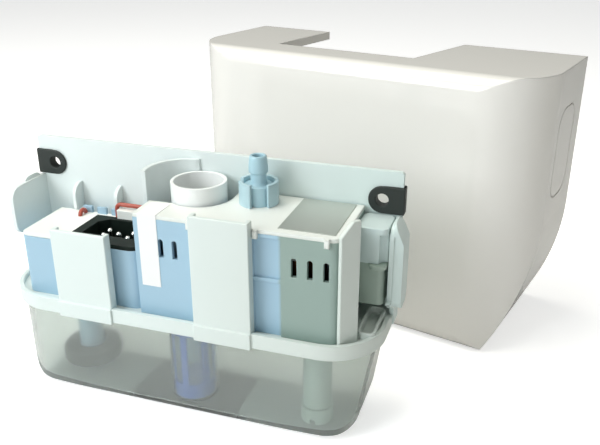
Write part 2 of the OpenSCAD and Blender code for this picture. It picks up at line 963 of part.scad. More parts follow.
module module_body() {
    color(pale_blue) place() difference() {
        union() {
            difference() {
                housing_shell();
                housing_hollow();
            }
            board_posts();
        }
        left_vent_x = step_x;
        for (share = left_vent_shares) vent(left_vent_x + share * (centre_guard_x - left_vent_x));
        right_vent_x = panel_x + panel_w;
        for (share = right_vent_shares) vent(right_vent_x + share * (module_right - right_vent_x));
        block(panel_x, panel_x + panel_w, high_out - panel_sink, high_out + over,
            panel_ledge, high_top - panel_ledge_h);
        block(panel_x, panel_x + panel_w, high_out - panel_sink, high_out + over,
            deck_top - over, panel_ledge - panel_ledge_h);
        rod(float_x, float_out, deck_top - over, floor_top + over, stem_neck_d + 2 * slip);
        rod(suction_x, suction_out, deck_top - over, floor_top + over, suction_neck_d + 2 * slip);
    }
}

module prong(turn) {
    translate([outlet_x, -outlet_out, lid_top - over / 2]) rotate([0, 0, turn - prong_arc / 2])
        rotate_extrude(angle = prong_arc) translate([prong_d / 2 - prong_t, 0])
            square([prong_t, prong_h + over / 2]);
}

module lid_hook(x) {
    block(x, x + hook_w, high_out - over, high_out + hook_l, lid_top - hook_h, lid_top);
}

module module_lid() {
    color(white) place() difference() {
        union() {
            plan(high_top, lid_top) high_outline(0);
            plan(high_top - lid_tongue, high_top + over / 2) difference() {
                high_outline(housing_wall + slip);
                high_outline(2 * housing_wall);
            }
            for (turn = prong_turns) prong(turn);
            difference() {
                union() {
                    lid_hook(centre_guard_x - hook_w - 0.4);
                    lid_hook(centre_guard_x + centre_guard_w + 0.4);
                    lid_hook(module_right - high_r - hook_w);
                }
                block(step_x, module_right, 0, high_out + run_fit, 0, high_top);
            }
        }
        rod(outlet_x, outlet_out, high_top - over - lid_tongue, lid_top + over, nipple_d + 2 * slip);
    }
}

module terminal_lid() {
    color(white) place() plan(low_top, low_lid_top) difference() {
        low_outline(0);
        frame_outline(slip);
        for (i = [0 : tab_count - 1])
            rect(tab_x + i * tab_pitch - slip, low_back - over,
                tab_x + i * tab_pitch + tab_w + slip, low_back + tab_t + slip);
    }
}

// End housing at the right

module end_cap() {
    color(white) place() difference() {
        plan(cap_bottom, cap_top)
            round_rect(module_right, module_back, module_right + cap_w, cap_out, cap_r);
        rod(module_right + cap_w, cap_out, cap_bottom - over, cap_top - cap_r, 2 * channel_r);
    }
}

module end_housing() {
    color(pale_blue) place() union() {
        plan(end_bottom, cap_bottom)
            round_rect(module_right, module_back, module_right + end_w, end_out, cap_r);
        plan(cap_bottom - shelf_t, cap_bottom)
            round_rect(module_right + end_w / 2, cap_out - end_w / 2, module_right + cap_w,
                cap_out + shelf_past, cap_r);
    }
}

// Mains inlet

module socket_outline() {
    x0 = socket_x - socket_w / 2;
    x1 = socket_x + socket_w / 2;
    back = socket_out - socket_l / 2;
    front = socket_out + socket_l / 2;
    polygon([[x0, front], [x1, front], [x1, back + socket_cut], [x1 - socket_cut, back],
        [x0 + socket_cut, back], [x0, back + socket_cut]]);
}

module power_inlet() {
    color(rubber_black) place() difference() {
        union() {
            plan(low_top, low_lid_top + frame_past) frame_outline(0);
            plan(low_top - inlet_body_h, low_top + over / 2)
                rect(socket_x - socket_w / 2 - inlet_body_wall, socket_out - socket_l / 2 - inlet_body_wall,
                    socket_x + socket_w / 2 + inlet_body_wall, socket_out + socket_l / 2 + inlet_body_wall);
        }
        plan(low_lid_top - socket_h, low_lid_top + over) socket_outline();
        pins(low_top - inlet_body_h - over, pin_d + 2 * run_fit);
    }
}

module pins(bottom, d) {
    for (x = [-1, 1], out = [-1, 1])
        rod(socket_x + x * pin_x_pitch, socket_out + out * pin_y_pitch, bottom, pin_tip, d, $fn = 24);
    rod(socket_x, socket_out, bottom, pin_tip, d, $fn = 24);
}

module contact_pins() {
    color(steel) place() {
        pins(board_z + board_t, pin_d);
        for (x = [-1, 1], out = [-1, 1])
            translate([socket_x + x * pin_x_pitch, -socket_out - out * pin_y_pitch, pin_tip])
                sphere(d = pin_d, $fn = 24);
        translate([socket_x, -socket_out, pin_tip]) sphere(d = pin_d, $fn = 24);
    }
}

// Bare plate and blank strip

module rating_plate() {
    color(steel) place()
        block(label_x, label_x + label_w, label_out, label_out + label_l, lid_top, lid_top + label_t);
}

module seal_strip() {
    color(white) place() {
        block(strip_x, strip_x + strip_w, high_out, high_out + strip_t,
            lid_top - strip_drop, lid_top + strip_t);
        block(strip_x, strip_x + strip_w, high_out - strip_back, high_out + strip_t / 2,
            lid_top, lid_top + strip_t);
    }
}

// Outlet

module discharge_spigot() {
    color(pale_blue) place() translate([outlet_x, -outlet_out, 0]) difference() {
        union() {
            translate([0, 0, lid_top]) cylinder(h = base_top - lid_top, d = base_d);
            translate([0, 0, nipple_bottom]) cylinder(h = lid_top - nipple_bottom + over, d = nipple_d);
            translate([0, 0, base_top - over]) cylinder(h = outlet_top - base_top + over, d = outlet_d);
            translate([0, 0, barb_z]) cylinder(h = barb_h, d1 = barb_d, d2 = barb_top_d);
        }
        translate([0, 0, nipple_bottom - over])
            cylinder(h = outlet_top - nipple_bottom + 2 * over, d = outlet_bore);
        translate([0, 0, valve_z]) cylinder(h = valve_h, d = valve_d);
    }
}

module valve_ball() {
    color(steel) place() translate([outlet_x, -outlet_out, ball_z]) sphere(ball_r, $fn = 48);
}

// Cable block and lead wires

module terminal_block() {
    color(white) place() difference() {
        block(block_x, block_x + block_w, low_back, low_back + block_l, low_lid_top, low_lid_top + block_h);
        plan(low_lid_top - over, low_lid_top + frame_past) frame_outline(0);
    }
}

module lead_wires() {
    color(wire_red) place() {
        rod(wire_left, wire_out, low_lid_top, wire_top - wire_bend, 2 * wire_r, $fn = 24);
        rod(wire_right, wire_out, low_lid_top, wire_top - wire_bend, 2 * wire_r, $fn = 24);
        run(wire_left + wire_bend, wire_out, wire_right - wire_bend, wire_out, wire_top, wire_r, $fn = 24);
        translate([wire_left + wire_bend, -wire_out, wire_top - wire_bend]) rotate([90, 0, 0])
            rotate([0, 0, 90]) rotate_extrude(angle = 90, $fn = 48) translate([wire_bend, 0])
                circle(wire_r, $fn = 24);
        translate([wire_right - wire_bend, -wire_out, wire_top - wire_bend]) rotate([90, 0, 0])
            rotate_extrude(angle = 90, $fn = 48) translate([wire_bend, 0]) circle(wire_r, $fn = 24);
        translate([loop_x, -low_back - tab_t - loop_r - wire_r - fit, low_lid_top]) rotate([90, 0, 90])
            rotate_extrude(angle = 180, $fn = 48) translate([loop_r, 0]) circle(wire_r, $fn = 24);
    }
}

// Float, its stem, magnet, clip and reed switch

module float_stem() {
    color(pale_blue) place() difference() {
        union() {
            rod(float_x, float_out, stem_bottom, deck_bottom, stem_d);
            rod(float_x, float_out, deck_bottom - over, stem_neck_top, stem_neck_d);
        }
        rod(float_x, float_out, reed_bottom, stem_neck_top + over, reed_bore);
        tube(float_x, float_out, clip_z - slip, clip_z + clip_t + slip, stem_d + over, groove_d);
    }
}

module reed_switch() {
    color(steel) place() rod(float_x, float_out, reed_bottom, reed_bottom + reed_l, reed_d);
}

module stem_clip() {
    color(white) place() tube(float_x, float_out, clip_z, clip_z + clip_t, clip_d, groove_d + 2 * run_fit);
}

module float() {
    color(float_grey) place() difference() {
        tube(float_x, float_out, float_bottom, float_bottom + float_h, float_d, float_bore, $fn = 96);
        tube(float_x, float_out, float_bottom - over, float_bottom + magnet_h, magnet_out, magnet_in);
    }
}

module float_magnet() {
    color(steel) place() tube(float_x, float_out, float_bottom, float_bottom + magnet_h - run_fit,
        magnet_out - 2 * run_fit, magnet_in + 2 * run_fit);
}

// Strainer

module strainer_cup() {
    color(clear_grey) place() difference() {
        rod(strainer_x, strainer_out, cup_bottom, cup_top, cup_d);
        rod(strainer_x, strainer_out, cup_bottom + cup_wall, cup_top + over, cup_d - 2 * cup_wall);
    }
}

module strainer_cage() {
    cage_bottom = cup_bottom + cup_wall;
    color(strainer_blue) place() {
        rod(strainer_x, strainer_out, cage_bottom, cage_bottom + cage_base_h, 2 * cage_r);
        tube(strainer_x, strainer_out, cup_top - cage_ring_h, cup_top, 2 * cage_r, 2 * (neck_r - bar_t));
        tube(strainer_x, strainer_out, cup_top - cage_ring_h, neck_top, 2 * neck_r, 2 * (neck_r - bar_t));
        intersection() {
            tube(strainer_x, strainer_out, cage_bottom, cup_top, 2 * cage_r, 2 * (cage_r - bar_t));
            for (i = [0 : bar_count - 1])
                translate([strainer_x, -strainer_out, cage_bottom])
                    rotate([0, 0, 360 * (i + 0.5) / bar_count]) translate([0, -bar_w / 2, 0])
                        cube([cup_d, bar_w, cup_top - cage_bottom]);
        }
    }
}

module strainer_mesh() {
    color(steel) place() tube(strainer_x, strainer_out, cup_bottom + cup_wall + cage_base_h,
        cup_top - cage_ring_h, 2 * mesh_r, 2 * (mesh_r - mesh_t));
}

// Suction tube and its foot cap

module suction_tube() {
    color(pale_white) place() difference() {
        union() {
            rod(suction_x, suction_out, suction_bottom, deck_bottom, suction_d);
            rod(suction_x, suction_out, deck_bottom - over, suction_neck_top, suction_neck_d);
        }
        rod(suction_x, suction_out, suction_bottom - over, deck_bottom - foot_h, suction_bore);
        rod(suction_x, suction_out, deck_bottom - foot_h - over, suction_neck_top + over, 2 * hose_r);
    }
}

module foot_cap() {
    foot_d = suction_d + 2 * foot_wall + 2 * run_fit;
    foot_bottom = suction_bottom - foot_floor - slip;
    color(pale_white) place() difference() {
        rod(suction_x, suction_out, foot_bottom, foot_bottom + foot_h, foot_d);
        rod(suction_x, suction_out, foot_bottom + foot_floor, foot_bottom + foot_h + over,
            suction_d + 2 * run_fit);
        block(suction_x - foot_slot / 2, suction_x + foot_slot / 2,
            suction_out - foot_d, suction_out + foot_d, foot_bottom - over, foot_bottom + foot_floor + over);
    }
}

// Solenoid pump

module coil_yoke() {
    color(steel) place() difference() {
        face(pump_out - yoke_l / 2, pump_out + yoke_l / 2) difference() {
            rect(pump_x - yoke_w / 2, yoke_bottom, pump_x + yoke_w / 2, yoke_top);
            rect(pump_x - yoke_w / 2 + yoke_t, yoke_bottom + yoke_t,
                pump_x + yoke_w / 2 - yoke_t, yoke_top - yoke_t);
        }
        rod(pump_x, pump_out, yoke_bottom - over, yoke_top + over, barrel_d + 2 * run_fit);
    }
}

module coil_bobbin() {
    low = yoke_bottom + yoke_t;
    high = yoke_top - yoke_t;
    bore = barrel_d + 2 * run_fit;
    color(white) place() {
        tube(pump_x, pump_out, low, high, bore + 2 * bobbin_wall, bore);
        tube(pump_x, pump_out, low, low + bobbin_flange, winding_d + 1, bore);
        tube(pump_x, pump_out, high - bobbin_flange, high, winding_d + 1, bore);
    }
}

module coil_winding() {
    color(copper) place() tube(pump_x, pump_out, yoke_bottom + yoke_t + bobbin_flange + run_fit,
        yoke_top - yoke_t - bobbin_flange - run_fit, winding_d,
        barrel_d + 2 * bobbin_wall + 4 * run_fit);
}

module pump_barrel() {
    color(white) place() difference() {
        rod(pump_x, pump_out, barrel_bottom, barrel_top, barrel_d);
        rod(pump_x, pump_out, bore_bottom, bore_top, barrel_bore);
        rod(pump_x, pump_out, barrel_bottom - over, barrel_top + over, port_d);
    }
}

module piston() {
    color(steel) place() rod(pump_x, pump_out, piston_bottom, piston_bottom + piston_l, piston_d);
}

module lower_spring() {
    color(steel) place() tube(pump_x, pump_out, bore_bottom, piston_bottom, spring_out, spring_in);
}

module upper_spring() {
    color(steel) place() tube(pump_x, pump_out, piston_bottom + piston_l, bore_top, spring_out, spring_in);
}

module pump_mounts() {
    color(rubber_black) place() for (x = [-1, 1])
        rod(pump_x + x * (yoke_w - mount_d) / 2, pump_out, floor_top, yoke_bottom, mount_d);
}

module elbow(x, out, z) {
    translate([x, -out, z]) sphere(hose_r, $fn = 32);
}

module suction_hose() {
    color(pale_white) place() {
        rod(suction_x, suction_out, suction_neck_top, suction_hose_z, 2 * hose_r, $fn = 32);
        elbow(suction_x, suction_out, suction_hose_z);
        run(suction_x, suction_out, pump_x, pump_out, suction_hose_z, hose_r, $fn = 32);
        elbow(pump_x, pump_out, suction_hose_z);
        rod(pump_x, pump_out, suction_hose_z, barrel_bottom, 2 * hose_r, $fn = 32);
    }
}

module outlet_hose() {
    color(pale_white) place() {
        rod(pump_x, pump_out, barrel_top, outlet_hose_z, 2 * hose_r, $fn = 32);
        elbow(pump_x, pump_out, outlet_hose_z);
        run(pump_x, pump_out, outlet_x, outlet_out, outlet_hose_z, hose_r, $fn = 32);
        elbow(outlet_x, outlet_out, outlet_hose_z);
        rod(outlet_x, outlet_out, outlet_hose_z, nipple_bottom, 2 * hose_r, $fn = 32);
    }
}

// Control board

module control_board() {
    color(board_green) place() difference() {
        block(board_x, board_x + board_w, board_out, board_out + board_l, board_z, board_z + board_t);
        for (x = [board_x + post_in, board_x + board_w - post_in],
                out = [board_out + post_in, board_out + board_l - post_in])
            rod(x, out, board_z - over, board_z + board_t + over, board_screw_d + 2 * run_fit);
    }
}

module board_parts() {
    top = board_z + board_t;
    relay_x = board_x + post_in + board_head_d / 2 + fit;
    relay_out = board_out + (board_l - relay_l) / 2;
    cap_x = relay_x + relay_w + cap_d / 2 + fit;
    color(strainer_blue) place() {
        block(relay_x, relay_x + relay_w, relay_out, relay_out + relay_l, top, top + relay_h);
        rod(cap_x, board_out + board_l / 2, top, top + cap_h, cap_d, $fn = 48);
    }
}

module board_screws() {
    top = board_z + board_t;
    color(steel) place() for (x = [board_x + post_in, board_x + board_w - post_in],
            out = [board_out + post_in, board_out + board_l - post_in]) {
        rod(x, out, board_z - post_in, top + over / 2, board_screw_d, $fn = 24);
        rod(x, out, top, top + board_head_h, board_head_d, $fn = 24);
    }
}

module cradle_screws() {
    color(steel) place() for (share = cradle_screw_shares)
        translate([share * plate_half, -plate_back, cradle_screw_z]) rotate([90, 0, 0]) {
            translate([0, 0, -cradle_head_h / 2])
                cylinder(h = cradle_screw_l + cradle_head_h / 2, d = cradle_screw_d, $fn = 24);
            translate([0, 0, -cradle_head_h]) cylinder(h = cradle_head_h, d = cradle_head_d, $fn = 24);
        }
}

// Cover

module cover_place() {
    translate([cover_x, cover_y, -screw_h]) rotate([0, 0, cover_turn]) children();
}

module cover_form(inset) {
    back = inset > 0 ? -over : 0;
    intersection() {
        plan(-over, cover_h + over) bay(cover_half - inset, back, cover_d - inset, cover_r - inset);
        face(back, cover_d)
            flanks(cover_half - inset, -over, cover_knee, cover_h + over, cover_flank_r - inset);
        side(-cover_half, cover_half) intersection() {
            toe(back, cover_d - inset, inset, cover_h, cover_edge_r + cover_wall - inset);
            translate([0, cover_h]) mirror([0, 1])
                toe(back, cover_d - inset, inset, cover_h, cover_edge_r + cover_wall - inset);
        }
    }
}

module cover_cut(inset) {
    polygon([[cut_left - inset, -over], [cut_left_front - inset, cut_out + inset],
        [cut_right_front + inset, cut_out + inset], [cut_right + inset, -over]]);
}

module release_outline(gap) {
    round_rect(release_out - gap, release_z - gap, release_out + release_w + gap,
        release_z + release_h + gap, release_r + gap);
}

module cover() {
    color(white) cover_place() difference() {
        union() {
            difference() {
                cover_form(0);
                cover_form(cover_wall);
            }
            plan(cover_h - cover_wall - cut_lip_h, cover_h - cover_wall + over / 2) intersection() {
                cover_cut(cut_lip);
                bay(cover_half - cover_wall, 0, cover_d - cover_wall, cover_r);
            }
        }
        plan(cover_h - cover_wall - cut_lip_h - over, cover_h + over) cover_cut(0);
        side(cover_half - cover_wall - over, cover_half + over) release_outline(tab_gap);
        side(-cover_half - over, -cover_half + cover_wall + over) release_outline(tab_gap);
    }
}

module release_tab() {
    side(cover_half - cover_wall, cover_half) release_outline(0);
}

module right_release_tab() {
    color(white) cover_place() release_tab();
}

module left_release_tab() {
    color(white) cover_place() mirror([1, 0, 0]) release_tab();
}

back_plate();
left_lug();
right_lug();
cradle();
front_guards();
inlet_duct();
basin();
module_body();
module_lid();
terminal_lid();
end_housing();
end_cap();
power_inlet();
contact_pins();
rating_plate();
seal_strip();
discharge_spigot();
valve_ball();
terminal_block();
lead_wires();
float_stem();
float();
float_magnet();
reed_switch();
stem_clip();
strainer_cup();
strainer_cage();
strainer_mesh();
suction_tube();
foot_cap();
coil_yoke();
coil_bobbin();
coil_winding();
pump_barrel();
piston();
lower_spring();
upper_spring();
pump_mounts();
suction_hose();
outlet_hose();
control_board();
board_parts();
board_screws();
cradle_screws();
cover();
left_release_tab();
right_release_tab();
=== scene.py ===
# %% [markdown]
# # A condensate pump, opened, with its cover standing behind it
# An air conditioner drips water into this pump's basin, a float starts a small solenoid pump, and the
# water leaves through the barbed outlet. The CAD model gives every rigid piece its place and size. This
# lesson gives the pieces their plastics, metals and rubber. It makes anew the outlet, the float, the
# strainer's mesh and the screws, which want finer shapes than the CAD has, and it rounds the edges of
# the mouldings that show most.

# %% Frame
import math

import bmesh
import bpy
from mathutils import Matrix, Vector


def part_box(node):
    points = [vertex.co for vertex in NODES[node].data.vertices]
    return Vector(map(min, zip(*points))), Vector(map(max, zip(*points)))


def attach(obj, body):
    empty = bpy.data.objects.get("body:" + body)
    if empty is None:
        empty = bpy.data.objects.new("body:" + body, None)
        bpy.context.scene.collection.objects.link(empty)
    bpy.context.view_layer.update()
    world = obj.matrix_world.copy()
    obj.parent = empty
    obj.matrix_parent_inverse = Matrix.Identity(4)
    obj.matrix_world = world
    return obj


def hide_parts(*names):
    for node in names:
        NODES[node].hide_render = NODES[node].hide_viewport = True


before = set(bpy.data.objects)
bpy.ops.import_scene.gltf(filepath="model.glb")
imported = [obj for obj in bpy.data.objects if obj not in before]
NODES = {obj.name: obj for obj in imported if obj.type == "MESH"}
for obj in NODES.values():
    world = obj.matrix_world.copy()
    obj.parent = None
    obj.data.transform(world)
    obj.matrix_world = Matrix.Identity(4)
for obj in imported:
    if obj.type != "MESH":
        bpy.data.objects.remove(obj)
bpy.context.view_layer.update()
MM = 0.001
TABLE_Z = -0.088


# %% [markdown]
# ## Camera
# The pump was photographed from its right and a little above. A camera needs a place, a direction and a
# lens. The direction is worked out from two angles, which is easier to read than a rotation.

# %% Camera
CAMERA_PLACE = Vector((0.1248, -0.2620, 0.1020))
CAMERA_AZIMUTH = math.radians(18.2)
CAMERA_ELEVATION = math.radians(23.1)
LENS_MM = 44.04
CLIP_NEAR = 0.01
CLIP_FAR = 20


def look_direction(azimuth, elevation):
    """The way a camera looks that stands at this azimuth and elevation."""
    level = math.cos(elevation)
    return Vector((-math.sin(azimuth) * level, math.cos(azimuth) * level, -math.sin(elevation)))


def aim(thing, direction):
    """Turns a camera or a lamp so that it looks along a direction."""
    thing.rotation_mode = "QUATERNION"
    thing.rotation_quaternion = direction.to_track_quat("-Z", "Y")


camera = bpy.data.objects.new("camera", bpy.data.cameras.new("camera"))
bpy.context.scene.collection.objects.link(camera)
camera.data.lens = LENS_MM
camera.data.clip_start = CLIP_NEAR
camera.data.clip_end = CLIP_FAR
camera.location = CAMERA_PLACE
aim(camera, look_direction(CAMERA_AZIMUTH, CAMERA_ELEVATION))
bpy.context.scene.camera = camera
print("camera distance to the origin, m:", round(CAMERA_PLACE.length, 3))

# %% [markdown]
# ## Studio
# White plastic on a white ground lives from its reflections. A pale floor that curves up into a wall
# gives no horizon. Only the camera sees a faint glow in it. So the floor looks nearly white, and the
# pump still gets back no more light than falls on it.

# %% Studio floor
FLOOR_HALF = 6.0
SWEEP_BACK = 2.2
SWEEP_RADIUS = 1.2
SWEEP_STEPS = 16
PAPER_GREY = (0.80, 0.80, 0.80)
PAPER_ROUGHNESS = 0.9
PAPER_LIFT = 0.55


def new_object(name, mesh):
    """An object at the origin that shows the mesh."""
    made = bpy.data.objects.new(name, mesh)
    bpy.context.scene.collection.objects.link(made)
    return made


def sweep_mesh():
    """The floor, the quarter bend behind it and the wall, as one strip."""
    line = [(-FLOOR_HALF, TABLE_Z), (SWEEP_BACK, TABLE_Z)]
    for i in range(1, SWEEP_STEPS + 1):
        turn = math.pi / 2 * i / SWEEP_STEPS
        line.append((SWEEP_BACK + SWEEP_RADIUS * math.sin(turn),
                     TABLE_Z + SWEEP_RADIUS * (1 - math.cos(turn))))
    line.append((SWEEP_BACK + SWEEP_RADIUS, TABLE_Z + FLOOR_HALF))
    points = [(side * FLOOR_HALF, y, z) for y, z in line for side in (-1, 1)]
    faces = [(2 * i, 2 * i + 1, 2 * i + 3, 2 * i + 2) for i in range(len(line) - 1)]
    mesh = bpy.data.meshes.new("studio_floor")
    mesh.from_pydata(points, [], faces)
    mesh.shade_smooth()
    return mesh


def studio_paper():
    """Pale paper that the camera sees almost white, and that still throws back only the light it gets."""
    made = bpy.data.materials.new("studio_paper")
    made.use_nodes = True
    tree = made.node_tree
    shader = tree.nodes["Principled BSDF"]
    shader.inputs["Base Color"].default_value = (*PAPER_GREY, 1)
    shader.inputs["Roughness"].default_value = PAPER_ROUGHNESS
    shader.inputs["Emission Color"].default_value = (1, 1, 1, 1)
    seen = tree.nodes.new("ShaderNodeLightPath").outputs["Is Camera Ray"]
    lift = tree.nodes.new("ShaderNodeMath")
    lift.operation = "MULTIPLY"
    lift.inputs[1].default_value = PAPER_LIFT
    tree.links.new(seen, lift.inputs[0])
    tree.links.new(lift.outputs[0], shader.inputs["Emission Strength"])
    return made


studio_floor = new_object("studio_floor", sweep_mesh())
studio_floor.data.materials.append(studio_paper())
print("floor at, m:", TABLE_Z)

# %% [markdown]
# ## Lamps
# Large soft lamps give slow gradients. The key lamp stands at the left front, as the bright left faces
# in the photograph show. The top lamp opens the upper faces, the fill lamp stands low in front and
# lifts the shadow under the rim, and a faint warm lamp at the right leaves the beige tone on the cover.

# %% Lamps
AIM_AT = (0.0, 0.05, 0.0)
# Each lamp: place and target in metres, edge length in metres, power in watts, colour.
LAMPS = {
    "key_lamp": ((-0.42, -0.55, 0.36), (-0.03, 0.0, 0.0), 0.42, 3.8, (0.92, 0.97, 1.0)),
    "top_lamp": ((-0.25, 0.0, 0.85), AIM_AT, 0.7, 6.2, (1.0, 0.97, 0.88)),
    "fill_lamp": ((0.12, -0.95, 0.02), (0.05, 0.0, -0.04), 0.6, 1.5, (1.0, 1.0, 0.97)),
    "warm_lamp": ((1.0, 0.3, 0.3), (0.1, 0.15, -0.05), 0.5, 0.4, (1.0, 0.92, 0.80)),
}


def soft_lamp(name, place, target, size, power, colour):
    """A large square lamp that looks at a target."""
    data = bpy.data.lights.new(name, "AREA")
    data.shape = "SQUARE"
    data.size = size
    data.energy = power
    data.color = colour
    lamp = bpy.data.objects.new(name, data)
    bpy.context.scene.collection.objects.link(lamp)
    lamp.location = place
    aim(lamp, Vector(target) - Vector(place))


for name, (place, target, size, power, colour) in LAMPS.items():
    soft_lamp(name, place, target, size, power, colour)

# %% [markdown]
# ## Light from all round
# A weak even light from the world fills what the lamps leave. The camera sees that world brighter than
# it shines, for the same reason as the floor.

# %% World
WORLD_LIGHT = 0.28
WORLD_SEEN = 0.85
WORLD_TINT = (0.97, 1.0, 0.98, 1)
world = bpy.data.worlds.new("studio_light")
world.use_nodes = True
air = world.node_tree.nodes["Background"]
air.inputs["Color"].default_value = WORLD_TINT
level = world.node_tree.nodes.new("ShaderNodeMapRange")
level.inputs["To Min"].default_value = WORLD_LIGHT
level.inputs["To Max"].default_value = WORLD_SEEN
world_seen = world.node_tree.nodes.new("ShaderNodeLightPath").outputs["Is Camera Ray"]
world.node_tree.links.new(world_seen, level.inputs["Value"])
world.node_tree.links.new(level.outputs["Result"], air.inputs["Strength"])
bpy.context.scene.world = world
bpy.context.scene.view_settings.view_transform = "Standard"
print("world light:", WORLD_LIGHT, "as seen:", WORLD_SEEN)

# %% [markdown]
# ## Shader groups
# Every moulding here shares three effects: a fine skin left by the tool, a slow drift in colour and
# gloss from handling, and edges that are rounded by a few tenths of a millimetre. Each effect is a node
# group, built once, and each material sets its own values. A group puts out only colours, values and
# normals; shaders stay outside.

# %% Helpers for node trees
FLOAT = "NodeSocketFloat"
COLOUR = "NodeSocketColor"
VECTOR = "NodeSocketVector"


def shader_group(name, inputs, outputs):
    """An empty shader group with named sockets; inputs hold (name, kind, value)."""
    tree = bpy.data.node_groups.new(name, "ShaderNodeTree")
    for label, kind, value in inputs:
        socket = tree.interface.new_socket(label, in_out="INPUT", socket_type=kind)
        if value is not None:
            socket.default_value = value
    for label, kind in outputs:
        tree.interface.new_socket(label, in_out="OUTPUT", socket_type=kind)
    return tree, tree.nodes.new("NodeGroupInput").outputs, tree.nodes.new("NodeGroupOutput").inputs


def node(tree, kind, wires=None, **settings):
    """Adds a node, sets its properties, and wires or sets its inputs by name or number."""
    made = tree.nodes.new(kind)
    for key, value in settings.items():
        setattr(made, key, value)
    for key, value in (wires or {}).items():
        if isinstance(value, bpy.types.NodeSocket):
            tree.links.new(value, made.inputs[key])
        else:
            made.inputs[key].default_value = value
    return made


def math_node(tree, operation, a, b=0.0):
    """A Math node's result."""
    return node(tree, "ShaderNodeMath", {0: a, 1: b}, operation=operation).outputs[0]


# %% Group: moulded skin
SLOW_SCALE = 22.0
SLOW_DETAIL = 3.0
FINE_DETAIL = 2.0
GRAIN_SCALE = 2500.0


def moulded_skin_group():
    """Colour drift, gloss drift and a fine spark-eroded skin, all in the piece's own metres."""
    tree, given, out = shader_group(
        "moulded_skin",
        [("Colour", COLOUR, (0.8, 0.8, 0.8, 1)), ("Drift", FLOAT, 0.04), ("Roughness", FLOAT, 0.35),
         ("Gloss Drift", FLOAT, 0.08), ("Grain Scale", FLOAT, GRAIN_SCALE), ("Grain Depth", FLOAT, 0.2)],
        [("Colour", COLOUR), ("Roughness", FLOAT), ("Height", FLOAT)],
    )
    place = node(tree, "ShaderNodeTexCoord").outputs["Object"]
    slow = node(tree, "ShaderNodeTexNoise", {"Vector": place, "Scale": SLOW_SCALE, "Detail": SLOW_DETAIL})
    fine = node(tree, "ShaderNodeTexNoise", {
        "Vector": place, "Scale": given["Grain Scale"], "Detail": FINE_DETAIL})
    centred = math_node(tree, "SUBTRACT", slow.outputs["Fac"], 0.5)
    shade = math_node(tree, "ADD", math_node(tree, "MULTIPLY", centred, given["Drift"]), 1.0)
    tinted = node(tree, "ShaderNodeVectorMath", {0: given["Colour"]}, operation="SCALE")
    tree.links.new(shade, tinted.inputs["Scale"])
    tree.links.new(tinted.outputs["Vector"], out["Colour"])
    gloss = math_node(tree, "MULTIPLY", centred, given["Gloss Drift"])
    tree.links.new(math_node(tree, "ADD", given["Roughness"], gloss), out["Roughness"])
    tree.links.new(math_node(tree, "MULTIPLY", fine.outputs["Fac"], given["Grain Depth"]), out["Height"])
    return tree


MOULDED_SKIN = moulded_skin_group()


# %% Group: soft edge
EDGE_SAMPLES = 6
EDGE_STARTS = 0.99
EDGE_FULL = 0.75


def soft_edge_group():
    """A normal that runs round each edge, and a mask that is 1 on the edge itself."""
    tree, given, out = shader_group(
        "soft_edge", [("Radius", FLOAT, 0.0005)], [("Normal", VECTOR), ("Edge", FLOAT)]
    )
    bevel = node(tree, "ShaderNodeBevel", {"Radius": given["Radius"]}, samples=EDGE_SAMPLES).outputs["Normal"]
    flat = node(tree, "ShaderNodeNewGeometry").outputs["Normal"]
    along = node(tree, "ShaderNodeVectorMath", {0: bevel, 1: flat}, operation="DOT_PRODUCT").outputs["Value"]
    mask = node(tree, "ShaderNodeMapRange", {"Value": along, "From Min": EDGE_STARTS, "From Max": EDGE_FULL})
    tree.links.new(bevel, out["Normal"])
    tree.links.new(mask.outputs["Result"], out["Edge"])
    return tree


SOFT_EDGE = soft_edge_group()
print("shader groups:", [g.name for g in bpy.data.node_groups])


# %% [markdown]
# ## Plastics
# The housing, lid, cradle and cover are ABS: satin where the tool was eroded, glossy on the cover. All
# of them are one recipe with other numbers, so one function makes them. Rubber, foam and paper come
# from it too, and so do the metals, which only set their Metallic value as well.

# %% Material recipe
SKIN_STRENGTH = 0.35
SKIN_DEPTH = 0.00002
# The white that the painted highlight on moulded edges mixes in.
HIGHLIGHT_WHITE = (1, 1, 1, 1)


def group_node(tree, group, wires):
    """Places a shader group in a material."""
    return node(tree, "ShaderNodeGroup", wires, node_tree=group)


